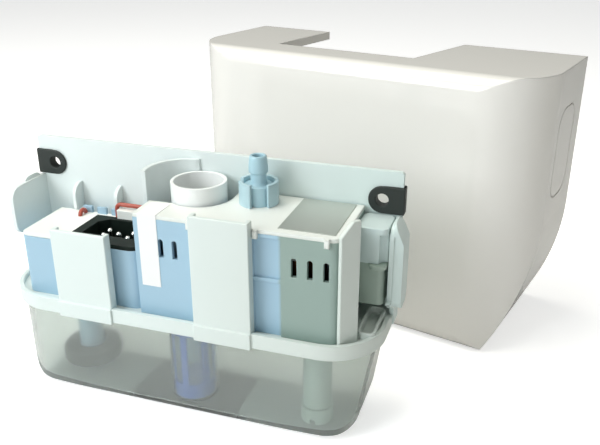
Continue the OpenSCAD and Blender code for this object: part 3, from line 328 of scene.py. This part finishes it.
def moulding(name, colour, roughness=0.35, drift=0.04, gloss_drift=0.08, grain=0.2,
             grain_scale=GRAIN_SCALE, edge=0.0005, edge_highlight=0.06, plain=None, side_shade=None):
    """A moulded piece with its skin and its soft edges.

    plain sets sockets that are the same all over. The last argument, the shade ramp, is (second colour, from
    X, to X) in metres: painted shade, the colour turns to the darker second colour along the piece's X. The
    white mixed in on the edges is a painted highlight.
    """
    made = bpy.data.materials.new(name)
    made.use_nodes = True
    tree = made.node_tree
    shader = tree.nodes["Principled BSDF"]
    skin = group_node(tree, MOULDED_SKIN, {
        "Colour": (*colour, 1), "Drift": drift, "Roughness": roughness, "Gloss Drift": gloss_drift,
        "Grain Scale": grain_scale, "Grain Depth": grain})
    # Painted shade: the colour ramps to a darker second colour along the piece's X, so the right side looks
    # shaded.
    if side_shade:
        second, start, end = side_shade
        place = node(tree, "ShaderNodeTexCoord").outputs["Object"]
        across = node(tree, "ShaderNodeSeparateXYZ", {0: place}).outputs["X"]
        share = node(tree, "ShaderNodeMapRange", {"Value": across, "From Min": start, "From Max": end},
                     interpolation_type="SMOOTHSTEP").outputs["Result"]
        tone = node(tree, "ShaderNodeMix", {"Factor": share, "A": (*colour, 1), "B": (*second, 1)},
                    data_type="RGBA")
        tree.links.new(tone.outputs["Result"], skin.inputs["Colour"])
    edges = group_node(tree, SOFT_EDGE, {"Radius": edge})
    # Painted highlight: the edges are mixed towards white, as highlights on rounded edges look.
    lift = math_node(tree, "MULTIPLY", edges.outputs["Edge"], edge_highlight)
    edge_lit_colour = node(tree, "ShaderNodeMix", {"Factor": lift, "A": skin.outputs["Colour"], "B": HIGHLIGHT_WHITE},
                  data_type="RGBA")
    bump = node(tree, "ShaderNodeBump", {
        "Strength": SKIN_STRENGTH, "Distance": SKIN_DEPTH, "Height": skin.outputs["Height"],
        "Normal": edges.outputs["Normal"]})
    tree.links.new(edge_lit_colour.outputs["Result"], shader.inputs["Base Color"])
    tree.links.new(skin.outputs["Roughness"], shader.inputs["Roughness"])
    tree.links.new(bump.outputs["Normal"], shader.inputs["Normal"])
    for key, value in (plain or {}).items():
        shader.inputs[key].default_value = value
    return made


# %% Plastics and rubbers
# Painted shade: the housing's colour turns from pale blue to a darker grey-green just right of its recessed
# panel, standing in for the shade on its right part.
HOUSING_SHADE_FROM = 0.0425
HOUSING_SHADE_TO = 0.0445
FINISHES = {
    # The plate's and the cradle's second colours are painted shade too: both darken towards the right.
    "white_plate": moulding("white_plate", (0.80, 0.87, 0.86), 0.38,
                            side_shade=((0.66, 0.77, 0.75), -0.02, 0.08)),
    "lid_white": moulding("lid_white", (0.86, 0.88, 0.84), 0.32),
    "cradle_white": moulding("cradle_white", (0.74, 0.82, 0.80), 0.36,
                             side_shade=((0.66, 0.72, 0.68), -0.03, 0.08)),
    # Painted light: the duct is the cradle's plastic painted brighter, so its front, which the lamps leave in
    # shade, looks lit.
    "duct_lit_white": moulding("duct_lit_white", (0.90, 0.92, 0.91), 0.3),
    "cover_gloss": moulding("cover_gloss", (0.86, 0.84, 0.80), 0.16, drift=0.02, gloss_drift=0.03,
                            grain=0.05, edge=0.0012, plain={"Coat Weight": 0.4, "Coat Roughness": 0.08}),
    "pale_blue": moulding("pale_blue", (0.37, 0.55, 0.68), 0.42, grain=1.6, grain_scale=1300.0,
                          side_shade=((0.29, 0.385, 0.35), HOUSING_SHADE_FROM, HOUSING_SHADE_TO)),
    "outlet_blue": moulding("outlet_blue", (0.40, 0.60, 0.68), 0.32),
    "grey_green": moulding("grey_green", (0.37, 0.46, 0.40), 0.42, grain=1.6, grain_scale=1300.0),
    "cap_tint": moulding("cap_tint", (0.60, 0.71, 0.70), 0.36),
    "black_rubber": moulding("black_rubber", (0.018, 0.025, 0.022), 0.6, grain=0.5, edge_highlight=0.1),
    "black_moulding": moulding("black_moulding", (0.006, 0.012, 0.009), 0.55, edge_highlight=0.05,
                               plain={"Specular IOR Level": 0.18}),
    "float_foam": moulding("float_foam", (0.016, 0.024, 0.022), 0.8, grain=1.0, grain_scale=900.0),
    "tube_green": moulding("tube_green", (0.48, 0.58, 0.53), 0.4),
    "cage_blue": moulding("cage_blue", (0.10, 0.28, 1.0), 0.3),
    "strip_paper": moulding("strip_paper", (0.88, 0.88, 0.88), 0.7, grain=0.6, edge=0.0001),
    "wire_red": moulding("wire_red", (0.42, 0.08, 0.05), 0.4),
    "hose_soft": moulding("hose_soft", (0.6, 0.65, 0.62), 0.35),
    "board_green": moulding("board_green", (0.02, 0.12, 0.05), 0.4),
    "case_blue": moulding("case_blue", (0.03, 0.07, 0.25), 0.4),
}
print("mouldings:", len(FINISHES))

# %% Metals
METALS = {
    "bright_metal": moulding("bright_metal", (0.82, 0.82, 0.80), 0.16, grain=0.1, plain={"Metallic": 1.0}),
    "plain_steel": moulding("plain_steel", (0.55, 0.56, 0.57), 0.35, plain={"Metallic": 1.0}),
    "silver_film": moulding("silver_film", (0.54, 0.57, 0.53), 0.42, drift=0.12, gloss_drift=0.2,
                            edge=0.0001, plain={"Metallic": 0.75}),
    "copper_wire": moulding("copper_wire", (0.22, 0.08, 0.035), 0.35, plain={"Metallic": 1.0}),
    "dark_ferrite": moulding("dark_ferrite", (0.03, 0.03, 0.032), 0.5),
}
FINISHES.update(METALS)
print("metals:", len(METALS))


# %% [markdown]
# ## Clear plastics
# The basin is moulded in a frosted clear plastic and the strainer's cup in a clearer one. Light goes
# through both walls, so transmission with some roughness blurs what stands inside, as in the
# photograph.

# %% Clear plastics
CLEAR_IOR = 1.3
CLEAR_DRIFT = 0.05
CLEAR_GLOSS_DRIFT = 0.1
RIPPLE_SCALE = 120.0
RIPPLE_STRENGTH = 0.15
RIPPLE_DEPTH = 0.0002


def clear_moulding(name, colour, roughness, transmission):
    """A see-through moulding with a gentle ripple in its surface."""
    made = bpy.data.materials.new(name)
    made.use_nodes = True
    tree = made.node_tree
    shader = tree.nodes["Principled BSDF"]
    skin = group_node(tree, MOULDED_SKIN, {
        "Colour": (*colour, 1), "Drift": CLEAR_DRIFT, "Roughness": roughness,
        "Gloss Drift": CLEAR_GLOSS_DRIFT, "Grain Scale": RIPPLE_SCALE, "Grain Depth": 1.0})
    bump = node(tree, "ShaderNodeBump", {
        "Strength": RIPPLE_STRENGTH, "Distance": RIPPLE_DEPTH, "Height": skin.outputs["Height"]})
    tree.links.new(skin.outputs["Colour"], shader.inputs["Base Color"])
    tree.links.new(skin.outputs["Roughness"], shader.inputs["Roughness"])
    tree.links.new(bump.outputs["Normal"], shader.inputs["Normal"])
    shader.inputs["Transmission Weight"].default_value = transmission
    shader.inputs["IOR"].default_value = CLEAR_IOR
    return made


FINISHES["frosted_clear"] = clear_moulding("frosted_clear", (0.90, 0.95, 0.92), 0.2, 0.86)
FINISHES["cup_clear"] = clear_moulding("cup_clear", (0.72, 0.86, 1.0), 0.05, 0.95)
print("finishes with the clear ones:", len(FINISHES))

# %% [markdown]
# ## Prongs on the lid
# The four prongs round the outlet are the outlet's pale blue, and rise from the white lid. Both are one
# CAD node, so the second colour is laid on by place: everything above the lid's face and near the
# outlet's axis.

# %% Two-tone lid
OUTLET_CENTRE = (0.0265, -0.014, 0.0)
PRONG_REACH = 0.0083
LID_FACE_Z = -0.0029


def add_prong_tone(material, colour):
    """Mixes a second colour over the prongs, in the lid's own metres."""
    tree = material.node_tree
    shader = tree.nodes["Principled BSDF"]
    lid_colour = shader.inputs["Base Color"].links[0].from_socket
    place = node(tree, "ShaderNodeTexCoord").outputs["Object"]
    from_axis = node(tree, "ShaderNodeVectorMath", {0: place, 1: OUTLET_CENTRE}, operation="SUBTRACT")
    level_part = node(tree, "ShaderNodeVectorMath", {0: from_axis.outputs[0], 1: (1.0, 1.0, 0.0)},
                      operation="MULTIPLY")
    reach = node(tree, "ShaderNodeVectorMath", {0: level_part.outputs[0]}, operation="LENGTH")
    near = math_node(tree, "LESS_THAN", reach.outputs["Value"], PRONG_REACH)
    height = node(tree, "ShaderNodeSeparateXYZ", {0: place}).outputs["Z"]
    above = math_node(tree, "GREATER_THAN", height, LID_FACE_Z)
    mask = math_node(tree, "MULTIPLY", near, above)
    mixed = node(tree, "ShaderNodeMix", {"Factor": mask, "A": lid_colour, "B": (*colour, 1)},
                 data_type="RGBA")
    tree.links.new(mixed.outputs["Result"], shader.inputs["Base Color"])


FINISHES["lid_two_tone"] = moulding("lid_two_tone", (0.80, 0.83, 0.79), 0.32, edge=0.0009)
add_prong_tone(FINISHES["lid_two_tone"], (0.46, 0.64, 0.70))
print("prongs within, mm:", PRONG_REACH / MM)

# %% [markdown]
# ## Who wears what
# Each CAD node gets its finish by name, for the material that the real piece is made of. The nodes that
# are rounded or made anew further on look their finish up here or name it themselves.

# %% Finish of each node
NODE_FINISH = {
    "white_plate": ["back_plate"],
    "lid_two_tone": ["module_lid"],
    "cap_tint": ["end_cap"],
    "lid_white": ["terminal_lid", "terminal_block", "stem_clip", "coil_bobbin"],
    "cradle_white": ["cradle", "front_guards"],
    "duct_lit_white": ["inlet_duct"],
    "cover_gloss": ["cover", "left_release_tab", "right_release_tab"],
    "pale_blue": ["module_body", "float_stem"],
    "grey_green": ["end_housing"],
    "black_rubber": ["left_lug", "right_lug", "pump_mounts"],
    "black_moulding": ["power_inlet"],
    "tube_green": ["suction_tube", "foot_cap"],
    "cage_blue": ["strainer_cage"],
    "strip_paper": ["seal_strip"],
    "wire_red": ["lead_wires"],
    "hose_soft": ["suction_hose", "outlet_hose"],
    "board_green": ["control_board"],
    "case_blue": ["board_parts"],
    "bright_metal": ["contact_pins", "valve_ball"],
    "plain_steel": ["reed_switch", "coil_yoke", "pump_barrel", "piston", "lower_spring", "upper_spring"],
    "silver_film": ["rating_plate"],
    "copper_wire": ["coil_winding"],
    "dark_ferrite": ["float_magnet"],
    "frosted_clear": ["basin"],
    "cup_clear": ["strainer_cup"],
}


FINISH_OF = {name: finish for finish, names in NODE_FINISH.items() for name in names}
for name, finish in FINISH_OF.items():
    NODES[name].data.materials.clear()
    NODES[name].data.materials.append(FINISHES[finish])
print("finished nodes:", len(FINISH_OF))

# %% [markdown]
# ## Turned pieces
# The outlet and the float are round. A lathe makes such a form from half of its outline, and so does
# this helper: it turns a closed line of radius and height round an upright axis. The mesh is better
# than a stack of cylinders, because the outline can hold the small roundings that catch the light.

# %% Lathe
TURN_STEPS = 72
CREASE_ANGLE = math.radians(35)


def lathe(name, outline, centre, finish, body, node_name):
    """Turns a closed outline of (radius, height) in mm round a centre given in metres."""
    made = bmesh.new()
    rings = []
    for i in range(TURN_STEPS):
        turn = 2 * math.pi * i / TURN_STEPS
        across, away = MM * math.cos(turn), MM * math.sin(turn)
        rings.append([made.verts.new((centre[0] + r * across, centre[1] + r * away, centre[2] + z * MM))
                      for r, z in outline])
    for i in range(TURN_STEPS):
        here, there = rings[i], rings[(i + 1) % TURN_STEPS]
        for j in range(len(outline)):
            k = (j + 1) % len(outline)
            made.faces.new((here[j], there[j], there[k], here[k]))
    bmesh.ops.recalc_face_normals(made, faces=made.faces)
    mesh = bpy.data.meshes.new(name)
    made.to_mesh(mesh)
    made.free()
    mesh.shade_smooth()
    mesh.set_sharp_from_angle(angle=CREASE_ANGLE)
    mesh.materials.append(FINISHES[finish])
    piece = new_object(name, mesh)
    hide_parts(node_name)
    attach(piece, body)
    print(name, "faces:", len(mesh.polygons))


def round_corner(r, z, radius, start, steps=5):
    """Points of a quarter round about (r, z), from an angle in degrees and a quarter turn on."""
    turns = [math.radians(start + 90 * i / steps) for i in range(steps + 1)]
    return [(r + radius * math.cos(t), z + radius * math.sin(t)) for t in turns]


# %% Barbed outlet
# Radii and heights are in mm, the heights over the wall screws. The line runs up the outside, over the
# tip and down the bore. The hollow for the valve's ball stays as it is in the CAD.
OUTLET_OUTLINE = [
    (1.6, -4.8), (2.5, -4.8), (2.5, -3.0), (5.7, -3.0), *round_corner(5.1, 4.2, 0.6, 0), (3.7, 4.8),
    (3.3, 5.2), (3.12, 6.0), (3.1, 9.2), (3.66, 9.6), (3.8, 10.3), (3.72, 12.4), (3.5, 14.6), (3.38, 15.7),
    (3.1, 16.2), (2.5, 16.3), (2.15, 16.0), (2.05, 15.4), (2.05, 6.8), (1.6, 6.2), (1.6, 3.2), (2.3, 3.2),
    (2.3, -2.0), (1.6, -2.0)]
lathe("barbed_outlet", OUTLET_OUTLINE, OUTLET_CENTRE, "outlet_blue", "pump", "discharge_spigot")

# %% Float
# A closed-cell float is cut and tumbled, which rounds its edges. The ring-shaped channel under it holds
# the magnet, and stays as it is in the CAD.
FLOAT_CENTRE = (-0.0495, -0.0251, 0.0)
FLOAT_OUTLINE = [
    (5.15, -80.0), (5.45, -80.3), (5.95, -80.3), (5.95, -76.3), (9.15, -76.3), (9.15, -80.3),
    *round_corner(10.7, -78.7, 1.6, 270), *round_corner(10.5, -75.1, 1.8, 0), (5.65, -73.3), (5.15, -73.8)]
lathe("float_disc", FLOAT_OUTLINE, FLOAT_CENTRE, "float_foam", "float", "float")

# %% [markdown]
# ## Pieces that repeat
# The strainer's mesh and the screws are one small form set down many times. Geometry Nodes say that
# directly: points first, then a form on each of them. The tree realizes its instances and sets the
# material at the end.

# %% Helpers for geometry trees
def geometry_tree(name, inputs):
    """A geometry tree with a geometry input and named sizes."""
    tree = bpy.data.node_groups.new(name, "GeometryNodeTree")
    tree.interface.new_socket("Geometry", in_out="INPUT", socket_type="NodeSocketGeometry")
    for label, kind, value in inputs:
        tree.interface.new_socket(label, in_out="INPUT", socket_type=kind).default_value = value
    tree.interface.new_socket("Geometry", in_out="OUTPUT", socket_type="NodeSocketGeometry")
    return tree, tree.nodes.new("NodeGroupInput").outputs, tree.nodes.new("NodeGroupOutput").inputs


def finish_tree(tree, geometry, material, out):
    """Realizes the instances and sets the material, as the last two nodes."""
    real = node(tree, "GeometryNodeRealizeInstances", {0: geometry}).outputs[0]
    dressed = node(tree, "GeometryNodeSetMaterial", {0: real, "Material": material}).outputs[0]
    tree.links.new(dressed, out[0])


def upward(tree, height):
    """A vector that points up by a height."""
    return node(tree, "ShaderNodeCombineXYZ", {"Z": height}).outputs[0]


def shifted(tree, geometry, shift):
    """The geometry moved by a vector."""
    return node(tree, "GeometryNodeTransform", {0: geometry, "Translation": shift}).outputs[0]


def joined(tree, parts):
    """Several geometries as one."""
    both = tree.nodes.new("GeometryNodeJoinGeometry")
    for part in parts:
        tree.links.new(part, both.inputs[0])
    return both.outputs[0]


def set_down(tree, points, form, turn=(0.0, 0.0, 0.0)):
    """The form on each point, as instances."""
    wires = {0: points, "Instance": form, "Rotation": turn}
    return node(tree, "GeometryNodeInstanceOnPoints", wires).outputs[0]


def grow(name, tree, points, values, body, node_name):
    """Runs a tree on points in metres and keeps the result as a plain mesh."""
    start = bpy.data.meshes.new(name + "_points")
    start.from_pydata(points, [], [])
    holder = new_object(name + "_points", start)
    modifier = holder.modifiers.new("grow", "NODES")
    modifier.node_group = tree
    for item in tree.interface.items_tree:
        if item.in_out == "INPUT" and item.name in values:
            modifier[item.identifier] = values[item.name]
    evaluated = holder.evaluated_get(bpy.context.evaluated_depsgraph_get())
    mesh = bpy.data.meshes.new_from_object(evaluated)
    holder.modifiers.remove(modifier)
    bpy.data.objects.remove(holder)
    mesh.name = name
    mesh.set_sharp_from_angle(angle=CREASE_ANGLE)
    piece = new_object(name, mesh)
    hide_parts(node_name)
    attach(piece, body)
    print(name, "faces:", len(mesh.polygons))


# %% Woven strainer mesh
WIRE_RADIUS = 0.00009
WIRE_SIDES = 4
HOOP_SIDES = 48
UPRIGHTS = 48
HOOPS = 24


def weave_tree():
    """A sleeve of upright wires and hoops round each point."""
    tree, given, out = geometry_tree("strainer_weave", [
        ("Radius", FLOAT, 0.0075), ("Height", FLOAT, 0.02), ("Wire", FLOAT, 0.0001),
        ("Uprights", "NodeSocketInt", 40), ("Hoops", "NodeSocketInt", 20)])
    wire = node(tree, "GeometryNodeCurvePrimitiveCircle", {
        "Resolution": WIRE_SIDES, "Radius": given["Wire"]}).outputs[0]
    top = upward(tree, given["Height"])
    line = node(tree, "GeometryNodeCurvePrimitiveLine", {"End": top}).outputs[0]
    upright = node(tree, "GeometryNodeCurveToMesh", {0: line, 1: wire, "Fill Caps": True}).outputs[0]
    around = node(tree, "GeometryNodeMeshCircle", {
        "Vertices": given["Uprights"], "Radius": given["Radius"]}).outputs[0]
    circle = node(tree, "GeometryNodeCurvePrimitiveCircle", {
        "Resolution": HOOP_SIDES, "Radius": given["Radius"]}).outputs[0]
    hoop = node(tree, "GeometryNodeCurveToMesh", {0: circle, 1: wire}).outputs[0]
    stack = node(tree, "GeometryNodeMeshLine", {
        "Count": given["Hoops"], "Offset": top}, mode="END_POINTS").outputs[0]
    sleeve = joined(tree, [set_down(tree, around, upright), set_down(tree, stack, hoop)])
    finish_tree(tree, set_down(tree, given["Geometry"], sleeve), FINISHES["plain_steel"], out)
    return tree


MESH_LOW, MESH_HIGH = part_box("strainer_mesh")
MESH_MIDDLE = (MESH_LOW + MESH_HIGH) / 2
MESH_RADIUS = (MESH_HIGH[0] - MESH_LOW[0]) / 2 - WIRE_RADIUS
MESH_FOOT = (MESH_MIDDLE[0], MESH_MIDDLE[1], MESH_LOW[2] + WIRE_RADIUS)
grow("strainer_weave", weave_tree(), [MESH_FOOT], {
    "Radius": MESH_RADIUS, "Height": MESH_HIGH[2] - MESH_LOW[2] - 2 * WIRE_RADIUS, "Wire": WIRE_RADIUS,
    "Uprights": UPRIGHTS, "Hoops": HOOPS}, "pump", "strainer_mesh")


# %% Screws with a cross recess
HEAD_SIDES = 32
SHANK_SIDES = 20
# Length and width of the recess's two bars, as shares of the head's radius.
RECESS_LONG = 1.2
RECESS_WIDE = 0.26


def screw_tree():
    """A pan head with a cross recess and its shank, on each point; the head looks along the turned Z."""
    tree, given, out = geometry_tree("cross_screws", [
        ("Head Radius", FLOAT, 0.0027), ("Head Height", FLOAT, 0.0012), ("Shank Radius", FLOAT, 0.0013),
        ("Shank Length", FLOAT, 0.007), ("Turn", VECTOR, (0.0, 0.0, 0.0))])
    head = node(tree, "GeometryNodeMeshCylinder", {
        "Vertices": HEAD_SIDES, "Radius": given["Head Radius"], "Depth": given["Head Height"]}).outputs[0]
    half_head = math_node(tree, "MULTIPLY", given["Head Height"], 0.5)
    bar_long = math_node(tree, "MULTIPLY", given["Head Radius"], RECESS_LONG)
    bar_wide = math_node(tree, "MULTIPLY", given["Head Radius"], RECESS_WIDE)
    cut = tree.nodes.new("GeometryNodeMeshBoolean")
    cut.operation = "DIFFERENCE"
    tree.links.new(shifted(tree, head, upward(tree, half_head)), cut.inputs[0])
    for along, across in ((bar_long, bar_wide), (bar_wide, bar_long)):
        size = node(tree, "ShaderNodeCombineXYZ", {"X": along, "Y": across, "Z": given["Head Height"]})
        bar = node(tree, "GeometryNodeMeshCube", {0: size.outputs[0]}).outputs[0]
        tree.links.new(shifted(tree, bar, upward(tree, given["Head Height"])), cut.inputs[1])
    shank = node(tree, "GeometryNodeMeshCylinder", {
        "Vertices": SHANK_SIDES, "Radius": given["Shank Radius"], "Depth": given["Shank Length"]}).outputs[0]
    half_down = math_node(tree, "MULTIPLY", given["Shank Length"], -0.5)
    screw = joined(tree, [cut.outputs[0], shifted(tree, shank, upward(tree, half_down))])
    finish_tree(tree, set_down(tree, given["Geometry"], screw, given["Turn"]), FINISHES["plain_steel"], out)
    return tree


SCREWS = screw_tree()
print("trees:", [g.name for g in bpy.data.node_groups if g.bl_idname == "GeometryNodeTree"])

# %% Screws of the cradle
# Four in a row, which look along Y. The inner two stand at 0.3 and the outer two at 0.74 of half the
# plate.
CRADLE_LOW, CRADLE_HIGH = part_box("cradle_screws")
CRADLE_HEAD_R = (CRADLE_HIGH[2] - CRADLE_LOW[2]) / 2
CRADLE_HEAD_H = 0.0012
CRADLE_SHANK_R = 0.0013
CRADLE_X = CRADLE_HIGH[0] - CRADLE_HEAD_R
INNER_SHARE = 0.3 / 0.74
CRADLE_POINTS = [(share * CRADLE_X, CRADLE_HIGH[1] - CRADLE_HEAD_H, (CRADLE_LOW[2] + CRADLE_HIGH[2]) / 2)
                 for share in (-1.0, -INNER_SHARE, INNER_SHARE, 1.0)]
grow("cradle_screw_set", SCREWS, CRADLE_POINTS, {
    "Head Radius": CRADLE_HEAD_R, "Head Height": CRADLE_HEAD_H, "Shank Radius": CRADLE_SHANK_R,
    "Shank Length": CRADLE_HIGH[1] - CRADLE_LOW[1] - CRADLE_HEAD_H, "Turn": (-math.pi / 2, 0.0, 0.0)},
    "pump", "cradle_screws")

# %% Screws of the board
# One in each corner of the board, upright.
BOARD_LOW, BOARD_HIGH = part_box("board_screws")
BOARD_HEAD_R = 0.0017
BOARD_HEAD_H = 0.001
BOARD_SHANK_R = 0.0009
BOARD_POINTS = [(x, y, BOARD_HIGH[2] - BOARD_HEAD_H)
                for x in (BOARD_LOW[0] + BOARD_HEAD_R, BOARD_HIGH[0] - BOARD_HEAD_R)
                for y in (BOARD_LOW[1] + BOARD_HEAD_R, BOARD_HIGH[1] - BOARD_HEAD_R)]
grow("board_screw_set", SCREWS, BOARD_POINTS, {
    "Head Radius": BOARD_HEAD_R, "Head Height": BOARD_HEAD_H, "Shank Radius": BOARD_SHANK_R,
    "Shank Length": BOARD_HIGH[2] - BOARD_LOW[2] - BOARD_HEAD_H, "Turn": (0.0, 0.0, 0.0)},
    "pump", "board_screws")

# %% [markdown]
# ## Rounded edges
# No moulding leaves its tool with a knife edge. The soft_edge group already bends the light there, but
# the meshes are used by themselves too, so the pieces that show most get real roundings: the CAD mesh
# is copied, its loose triangles are merged into whole faces, and the Bevel modifier rounds the edges
# that are left.

# %% Rounding of CAD pieces
MERGE_WITHIN = 0.000002
FLAT_ANGLE = math.radians(1.0)
SHARP_ANGLE = math.radians(38)
ROUND_STEPS = 3
FLAT_FACE_WEIGHT = 80


def rounded(node_name, width, finish, body="pump"):
    """Replaces a CAD node by a copy with rounded edges; width is the bevel's own, in mm."""
    merged = bmesh.new()
    merged.from_mesh(NODES[node_name].data)
    bmesh.ops.remove_doubles(merged, verts=merged.verts, dist=MERGE_WITHIN)
    bmesh.ops.dissolve_limit(merged, angle_limit=FLAT_ANGLE, verts=merged.verts, edges=merged.edges)
    volume = merged.calc_volume()
    mesh = bpy.data.meshes.new(node_name + "_merged")
    merged.to_mesh(mesh)
    merged.free()
    mesh.materials.clear()
    mesh.shade_smooth()
    holder = new_object(node_name + "_merged", mesh)
    bevel = holder.modifiers.new("round", "BEVEL")
    bevel.width = width * MM
    bevel.segments = ROUND_STEPS
    bevel.limit_method = "ANGLE"
    bevel.angle_limit = SHARP_ANGLE
    bevel.use_clamp_overlap = True
    even = holder.modifiers.new("even", "WEIGHTED_NORMAL")
    even.weight = FLAT_FACE_WEIGHT
    evaluated = holder.evaluated_get(bpy.context.evaluated_depsgraph_get())
    finished = bpy.data.meshes.new_from_object(evaluated)
    bpy.data.objects.remove(holder)
    finished.name = node_name + "_rounded"
    finished.materials.append(FINISHES[finish])
    test = bmesh.new()
    test.from_mesh(finished)
    open_edges = sum(1 for edge in test.edges if not edge.is_manifold)
    share = test.calc_volume() / volume
    test.free()
    print(node_name, "faces:", len(finished.polygons), "open edges:", open_edges,
          "volume share:", round(share, 4))
    piece = new_object(node_name + "_rounded", finished)
    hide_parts(node_name)
    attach(piece, body)


# %% The pieces that show most
ROUNDING_MM = {
    "front_guards": 0.4, "end_cap": 0.9, "end_housing": 0.6, "terminal_lid": 0.5, "module_lid": 0.5,
    "terminal_block": 0.3, "left_lug": 0.6, "right_lug": 0.6, "inlet_duct": 0.3, "module_body": 0.4,
    "cradle": 0.3, "back_plate": 0.4, "power_inlet": 0.3,
}
for name, width in ROUNDING_MM.items():
    rounded(name, width, FINISH_OF[name])
